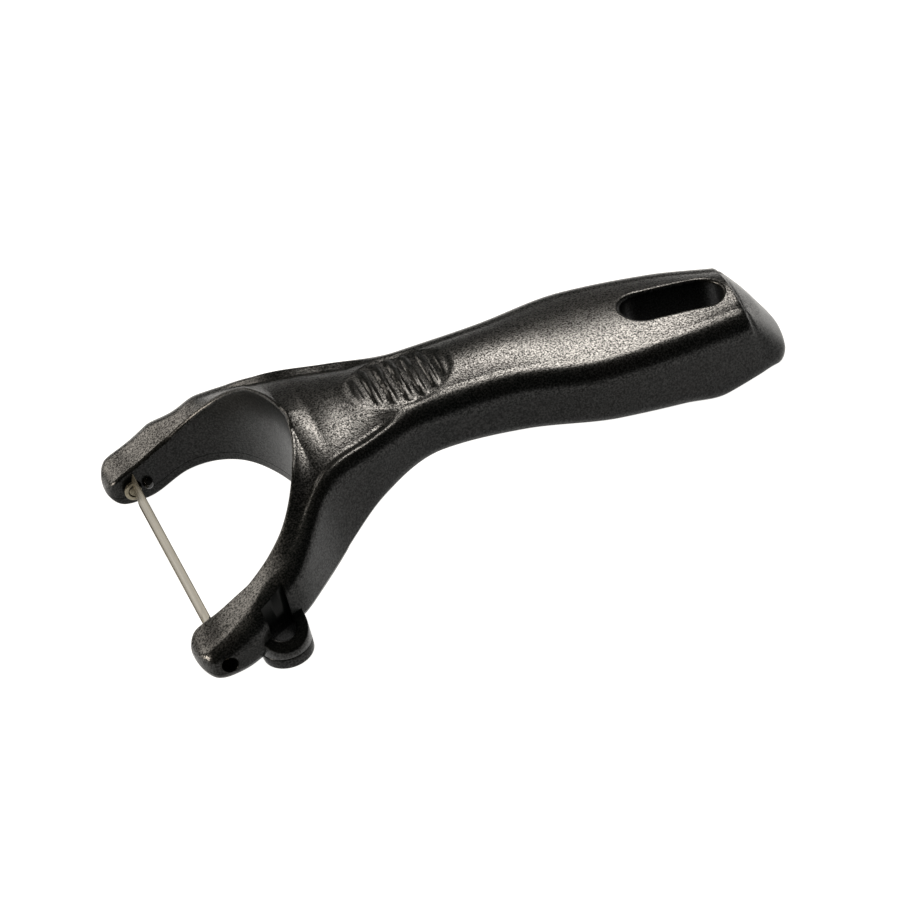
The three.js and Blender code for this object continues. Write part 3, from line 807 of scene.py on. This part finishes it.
def loop_section():
    """The loop wall's section, going round it: (share across the wall, what its z is from, z)."""
    edge = LOOP_EDGE / (LOOP_RADIUS - LOOP_BORE)

    def rounded(start, end, count, across, kind):
        for angle in np.linspace(start, end, count):
            over_low = LOOP_EDGE * (1 + math.sin(angle))
            under_rim = -LOOP_EDGE * (1 - math.sin(angle))
            yield across + edge * math.cos(angle), kind, over_low if kind == "low" else under_rim

    groove = [(1, "fixed", LOOP_PARTING_Z - LOOP_PARTING_HALF),
              (1 - LOOP_PARTING_DEPTH, "fixed", LOOP_PARTING_Z),
              (1, "fixed", LOOP_PARTING_Z + LOOP_PARTING_HALF)]
    rim = [(part, "high", 0) for part in (0.7, 0.5, 0.3)]
    return [*rounded(-math.pi / 2, 0, 6, 1 - edge, "low"),
            *groove,
            *rounded(0, math.pi / 2, 7, 1 - edge, "high"),
            *rim,
            *rounded(math.pi / 2, math.pi, 7, edge, "high"),
            (0, "fixed", LOOP_PARTING_Z),
            *rounded(math.pi, 3 * math.pi / 2, 6, edge, "low")]


def loop_mesh(side, name):
    """The D-shaped loop outside an arm, its two ends running into the arm."""
    root = LOOP_ROOT_Y - LOOP_EMBED
    path = [(y, (1.0, 0.0)) for y in np.linspace(root, LOOP_CENTRE_Y, 9)[:-1]]
    path += [(LOOP_CENTRE_Y, (math.cos(angle), math.sin(angle))) for angle in np.linspace(0, math.pi, 41)]
    path += [(y, (-1.0, 0.0)) for y in np.linspace(LOOP_CENTRE_Y, root, 9)[1:]]
    section = loop_section()
    points = []
    for centre_y, normal in path:
        for share, kind, value in section:
            out = LOOP_BORE + (LOOP_RADIUS - LOOP_BORE) * share
            y = centre_y + normal[1] * out
            base = {"low": LOOP_LOW_Z, "fixed": 0, "high": float(loop_rim_height(y))}[kind]
            points.append((LOOP_X + normal[0] * out, side * y, base + value))
    faces = tube_faces(len(path), len(section))
    return outward(make_object(name, points, faces, 50, [GRAIN_LOOP] * len(points)))


# ---------------------------------------------------------------- blade

def blade_bow(z):
    """The strip's middle in x, bowed across its width."""
    part = (z + BLADE_DROP) / (BLADE_WIDTH / 2)
    return BLADE_X - BLADE_BOW * (1 / 3 - part * part)


def strip_grid():
    """Places along the strip (y), places across it at each of them (z), and the slot's half width there."""
    half = FORK_HALF - EAR_CLEARANCE
    slot_end = half - SLOT_END
    slot_half = SLOT_WIDTH / 2
    round_start = slot_end - slot_half
    ends = round_start + slot_half * np.sin(np.radians([0, 20, 40, 60, 75, 86]))
    straight = np.linspace(0, round_start, 24)[:-1]
    positive = [*straight, *ends, slot_end + SLOT_STEP, *np.linspace(slot_end + 1, half, 6)]
    ys = np.array([-y for y in positive[:0:-1]] + positive)
    past = np.clip((np.abs(ys) - round_start) / slot_half, 0, 1)
    in_slot = np.abs(ys) < slot_end + SLOT_STEP / 2
    slot_reach = np.where(in_slot, slot_half * np.sqrt(1 - past ** 2), slot_half)
    low = -BLADE_WIDTH / 2 + (BLADE_WIDTH / 2 - slot_reach[:, None]) * np.array(STRIP_SHARES)
    return ys, np.concatenate([low, -low[:, ::-1]], 1), slot_reach


def strip_solid():
    """Points and faces of the strip with its slot and cutting lips."""
    slot_end = FORK_HALF - EAR_CLEARANCE - SLOT_END
    ys, zs, slot_reach = strip_grid()
    to_outer = BLADE_WIDTH / 2 - np.abs(zs)
    in_slot = (np.abs(ys) < slot_end)[:, None]
    to_slot = np.where(in_slot, np.abs(zs) - slot_reach[:, None], FAR)
    grind = step(0, OUTER_GRIND, to_outer) * step(0, SLOT_GRIND, np.clip(to_slot, 0, None))
    thickness = BLADE_EDGE + (BLADE_STEEL - BLADE_EDGE) * grind
    lip = LIP_RISE * np.exp(-np.clip(to_slot, 0, None) / LIP_REACH)
    middle = blade_bow(zs - BLADE_DROP) - lip
    y_grid = np.broadcast_to(ys[:, None], zs.shape)
    front = np.stack([middle - BLADE_STEEL / 2, y_grid, zs - BLADE_DROP], 2)
    back = front.copy()
    back[..., 0] += thickness
    kept = np.ones((len(ys) - 1, zs.shape[1] - 1), bool)
    open_cells = np.abs(ys[:-1] + ys[1:]) / 2 < slot_end
    kept[open_cells, kept.shape[1] // 2] = False
    return sheet_solid(front, back, kept)


def ear_solid(side):
    """Points and faces of the ear folded round the pin at one end of the strip."""
    outer = FORK_HALF - EAR_CLEARANCE
    angles = np.radians(np.linspace(*EAR_TURN, 33))
    grids = []
    for face, turn in ((outer, -1), (outer - BLADE_STEEL, 1)):
        grid = [[(radius * math.cos(angle), side * (face + turn * back), radius * math.sin(angle))
                 for radius, back in EAR_RINGS] for angle in angles]
        grids.append(np.array(grid))
    return sheet_solid(*grids, np.ones((len(angles) - 1, len(EAR_RINGS) - 1), bool))


def blade_mesh():
    """The strip and its two ears as one piece."""
    points = []
    faces = []
    for part_points, part_faces in (strip_solid(), ear_solid(1), ear_solid(-1)):
        start = len(points)
        points += list(part_points)
        faces += [[start + v for v in face] for face in part_faces]
    return outward(make_object("blade", points, faces, 28))


def pin_mesh(side, name):
    """A pin with chamfered ends and a shallow centre mark in its outer one."""
    inner = FORK_HALF - EAR_CLEARANCE - BLADE_STEEL - PIN_TIP
    outer = float(width_line(0)) - PIN_RECESS
    profile = [(PIN_CORE, inner), (PIN_RADIUS - PIN_CHAMFER, inner), (PIN_RADIUS, inner + PIN_CHAMFER),
               (PIN_RADIUS, outer - PIN_CHAMFER), (PIN_RADIUS - PIN_CHAMFER, outer)]
    profile += [(radius, outer - depth) for radius, depth in PIN_MARK]
    return lathe(name, profile, 0, 0, side)


def peg_mesh(side, name):
    """A stop peg: a shank in the arm's bore and a dome inside the fork."""
    end = FORK_HALF + STOP_DEPTH
    profile = [(STOP_RADIUS - STOP_CHAMFER, end), (STOP_RADIUS, end - STOP_CHAMFER)]
    for angle in np.linspace(0, math.radians(STOP_DOME_TURN), 12):
        rise = STOP_HEIGHT * (STOP_SHANK + (1 - STOP_SHANK) * math.sin(angle))
        profile.append((STOP_RADIUS * math.cos(angle), FORK_HALF - rise))
    return lathe(name, profile, STOP_X, 0, side)


# ---------------------------------------------------------------- materials

class Nodes:
    """Short calls for a material's node tree. Noise scales are cells per metre, bump distances metres."""

    def __init__(self, name):
        self.material = bpy.data.materials.new(name)
        self.material.use_nodes = True
        self.tree = self.material.node_tree
        self.shader = self.tree.nodes["Principled BSDF"]

    def add(self, kind, inputs=(), **settings):
        node = self.tree.nodes.new(kind)
        for key, value in settings.items():
            setattr(node, key, value)
        for key, value in dict(inputs).items():
            if isinstance(value, bpy.types.NodeSocket):
                self.tree.links.new(value, node.inputs[key])
            else:
                node.inputs[key].default_value = value
        return node

    def link(self, socket, name):
        self.tree.links.new(socket, self.shader.inputs[name])

    def noise(self, coordinates, scale, detail=2.0, roughness=0.5):
        inputs = {"Vector": coordinates, "Scale": scale, "Detail": detail, "Roughness": roughness}
        return self.add("ShaderNodeTexNoise", inputs).outputs["Fac"]

    def span(self, value, from_low, from_high, to_low, to_high):
        """value carried from one range to another, and held at its ends."""
        inputs = {"Value": value, "From Min": from_low, "From Max": from_high, "To Min": to_low,
                  "To Max": to_high}
        return self.add("ShaderNodeMapRange", inputs).outputs["Result"]

    def times(self, a, b):
        return self.add("ShaderNodeMath", {0: a, 1: b}, operation="MULTIPLY").outputs[0]

    def plus(self, a, b):
        return self.add("ShaderNodeMath", {0: a, 1: b}, operation="ADD").outputs[0]

    def mix(self, share, a, b):
        """Colour a to colour b; sockets 6, 7 and output 2 of the node are its colours."""
        return self.add("ShaderNodeMix", {0: share, 6: a, 7: b}, data_type="RGBA").outputs[2]

    def bump(self, height, distance, strength=1.0, normal=None):
        inputs = {"Height": height, "Distance": distance, "Strength": strength}
        if normal is not None:
            inputs["Normal"] = normal
        return self.add("ShaderNodeBump", inputs).outputs["Normal"]


def handle_plastic():
    """Black plastic: spark-eroded grain and painted glints where the mesh's grain value is high, smoother
    elsewhere.
    """
    n = Nodes("handle_plastic")
    place = n.add("ShaderNodeTexCoord").outputs["Object"]
    grain = n.add("ShaderNodeAttribute", attribute_name="grain").outputs["Fac"]
    fine = n.noise(place, 3200, 2, 0.6)
    broad = n.noise(place, 70, 3, 0.55)
    patchy = n.noise(place, 420, 2, 0.6)
    dark = (0.0012, 0.0020, 0.0017, 1)
    light = (0.0032, 0.0030, 0.0024, 1)
    colour = n.mix(n.span(broad, 0.3, 0.7, 0, 1), dark, light)
    # painted highlight: light specks in the base colour stand in for glints of light on the grain's facets
    painted_glint = (0.014, 0.013, 0.011, 1)
    glint_spots = n.times(n.span(fine, 0.54, 0.68, 0, 1), grain)
    colour = n.mix(n.times(glint_spots, 0.7), colour, painted_glint)
    n.link(colour, "Base Color")
    rough = n.plus(n.span(patchy, 0.25, 0.75, 0.26, 0.31), n.times(grain, 0.02))
    n.link(rough, "Roughness")
    shine = n.plus(n.times(n.span(fine, 0.38, 0.66, -0.05, 0.88), grain), 0.10)
    n.link(shine, "Specular IOR Level")
    spark = n.bump(n.times(fine, grain), 0.000035, 1.0)
    n.link(n.bump(patchy, 0.00001, 0.5, spark), "Normal")
    return n.material


def peg_plastic():
    """Polished black plastic."""
    n = Nodes("peg_plastic")
    place = n.add("ShaderNodeTexCoord").outputs["Object"]
    broad = n.noise(place, 900, 2)
    dark = (0.005, 0.005, 0.005, 1)
    light = (0.011, 0.010, 0.009, 1)
    n.link(n.mix(broad, dark, light), "Base Color")
    n.link(n.span(broad, 0.3, 0.7, 0.1, 0.2), "Roughness")
    n.link(n.bump(n.noise(place, 2600, 2), 0.00001, 0.4), "Normal")
    return n.material


def blade_steel():
    """Satin steel ground along the strip."""
    n = Nodes("blade_steel")
    place = n.add("ShaderNodeTexCoord").outputs["Object"]
    along = n.add("ShaderNodeMapping", {"Vector": place, "Scale": (1.0, 0.012, 1.0)}).outputs["Vector"]
    lines = n.noise(along, 5200, 3, 0.6)
    wide_lines = n.noise(along, 1300, 2, 0.5)
    stain = n.noise(place, 260, 3, 0.6)
    dark = (0.115, 0.102, 0.074, 1)
    light = (0.235, 0.215, 0.165, 1)
    stained = (0.08, 0.07, 0.05, 1)
    colour = n.mix(n.span(wide_lines, 0.3, 0.7, 0, 1), dark, light)
    colour = n.mix(n.span(stain, 0.55, 0.75, 0, 0.35), colour, stained)
    n.link(colour, "Base Color")
    n.link(n.span(lines, 0.3, 0.7, 0.26, 0.44), "Roughness")
    n.link(n.bump(lines, 0.00002, 0.5), "Normal")
    n.shader.inputs["Metallic"].default_value = 1.0
    return n.material


def paint(obj, material):
    obj.data.materials.clear()
    obj.data.materials.append(material)


# ---------------------------------------------------------------- stage

def place_camera():
    """Aims the camera by its azimuth, elevation and roll."""
    data = bpy.data.cameras.new("camera")
    data.lens = CAMERA_LENS
    data.sensor_width = 36
    data.clip_end = 10
    camera = bpy.data.objects.new("camera", data)
    ca = math.cos(CAMERA_AZIMUTH)
    sa = math.sin(CAMERA_AZIMUTH)
    ce = math.cos(CAMERA_ELEVATION)
    se = math.sin(CAMERA_ELEVATION)
    cr = math.cos(CAMERA_ROLL)
    sr = math.sin(CAMERA_ROLL)
    right = np.array([ca, sa, 0])
    up = np.array([-sa * se, ca * se, ce])
    back = np.array([sa * ce, -ca * ce, se])
    axes = Matrix((cr * right + sr * up, -sr * right + cr * up, back)).transposed()
    camera.matrix_world = Matrix.Translation(Vector(to_frame(CAMERA_AT))) @ axes.to_4x4()
    bpy.context.scene.collection.objects.link(camera)
    bpy.context.scene.camera = camera


def softbox(name, direction, distance, size, power, colour):
    """A rectangular light in this direction from the origin, turned to it."""
    data = bpy.data.lights.new(name, "AREA")
    data.shape = "RECTANGLE"
    data.size, data.size_y = size
    data.energy = power
    data.color = colour
    light = bpy.data.objects.new(name, data)
    light.location = Vector(direction).normalized() * distance
    light.rotation_euler = (-light.location).to_track_quat("-Z", "Y").to_euler()
    bpy.context.scene.collection.objects.link(light)


def floor():
    """A pale plain floor just under the table plane."""
    mesh = bpy.data.meshes.new("floor")
    signs = [(-1, -1), (1, -1), (1, 1), (-1, 1)]
    mesh.from_pydata([(a * FLOOR_HALF, b * FLOOR_HALF, 0) for a, b in signs], [], [(0, 1, 2, 3)])
    obj = bpy.data.objects.new("floor", mesh)
    obj.location.z = -FLOOR_DROP
    bpy.context.scene.collection.objects.link(obj)
    n = Nodes("floor")
    n.shader.inputs["Base Color"].default_value = (0.3, 0.3, 0.3, 1)
    n.shader.inputs["Roughness"].default_value = 0.9
    n.shader.inputs["Specular IOR Level"].default_value = 0.0
    n.shader.inputs["Emission Color"].default_value = (1, 0.99, 0.97, 1)
    n.shader.inputs["Emission Strength"].default_value = 1.05
    mesh.materials.append(n.material)


def light_scene():
    """A dim sky, a key light from above the tail, a warm fill and a weak light for the arms' tops."""
    world = bpy.data.worlds.new("world")
    world.use_nodes = True
    background = world.node_tree.nodes["Background"]
    background.inputs["Color"].default_value = (1.0, 0.98, 0.95, 1)
    background.inputs["Strength"].default_value = 0.05
    bpy.context.scene.world = world
    softbox("key", (0.40, 0.49, 0.80), 0.7, (0.24, 0.24), 4.6, (1.0, 0.935, 0.85))
    softbox("fill", (-0.9, 0.15, 0.30), 0.9, (0.35, 0.25), 9.0, (1.0, 0.89, 0.76))
    softbox("arms", (-0.50, 0.77, 0.39), 0.8, (0.3, 0.3), 1.3, (1.0, 0.92, 0.82))
    view = bpy.context.scene.view_settings
    view.view_transform = "Standard"
    view.look = "None"
    view.exposure = 0
    view.gamma = 1


# ---------------------------------------------------------------- build

def build():
    """Makes every piece, paints it and hands it to its body."""
    plastic = handle_plastic()
    gloss = peg_plastic()
    steel = blade_steel()
    shell = outward(handle_mesh("handle_shell_skin", shell_ring, SHELL_FOLDED_ROWS))
    carve(shell, bore_cutters(1) + bore_cutters(-1) + [window_cutter(1), window_cutter(-1)])
    base = outward(handle_mesh("handle_base_skin", plate_ring, PLATE_FOLDED_ROWS))
    carve(base, [window_cutter(1), window_cutter(-1)])
    pieces = [(shell, "handle", plastic, "handle_plastic", ["handle_shell"]),
              (base, "handle", plastic, "handle_plastic", ["handle_base"]),
              (blade_mesh(), "blade", steel, "blade_steel", ["swivel_blade"])]
    for word, side in (("left", 1), ("right", -1)):
        pieces.append((loop_mesh(side, f"loop_{word}"), "handle", plastic, "handle_plastic", []))
        pieces.append((loop_back(side, f"loop_back_{word}"), "handle", plastic, "handle_plastic", []))
        pieces.append((pin_mesh(side, f"pin_{word}"), "handle", steel, "blade_steel", [f"pivot_pin_{word}"]))
        pieces.append((peg_mesh(side, f"peg_{word}"), "handle", gloss, "peg_plastic", [f"stop_peg_{word}"]))
    for obj, body, material, slot, nodes in pieces:
        paint(obj, material)
        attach(obj, body)
        if nodes:
            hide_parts(*nodes)


build()
place_camera()
floor()
light_scene()
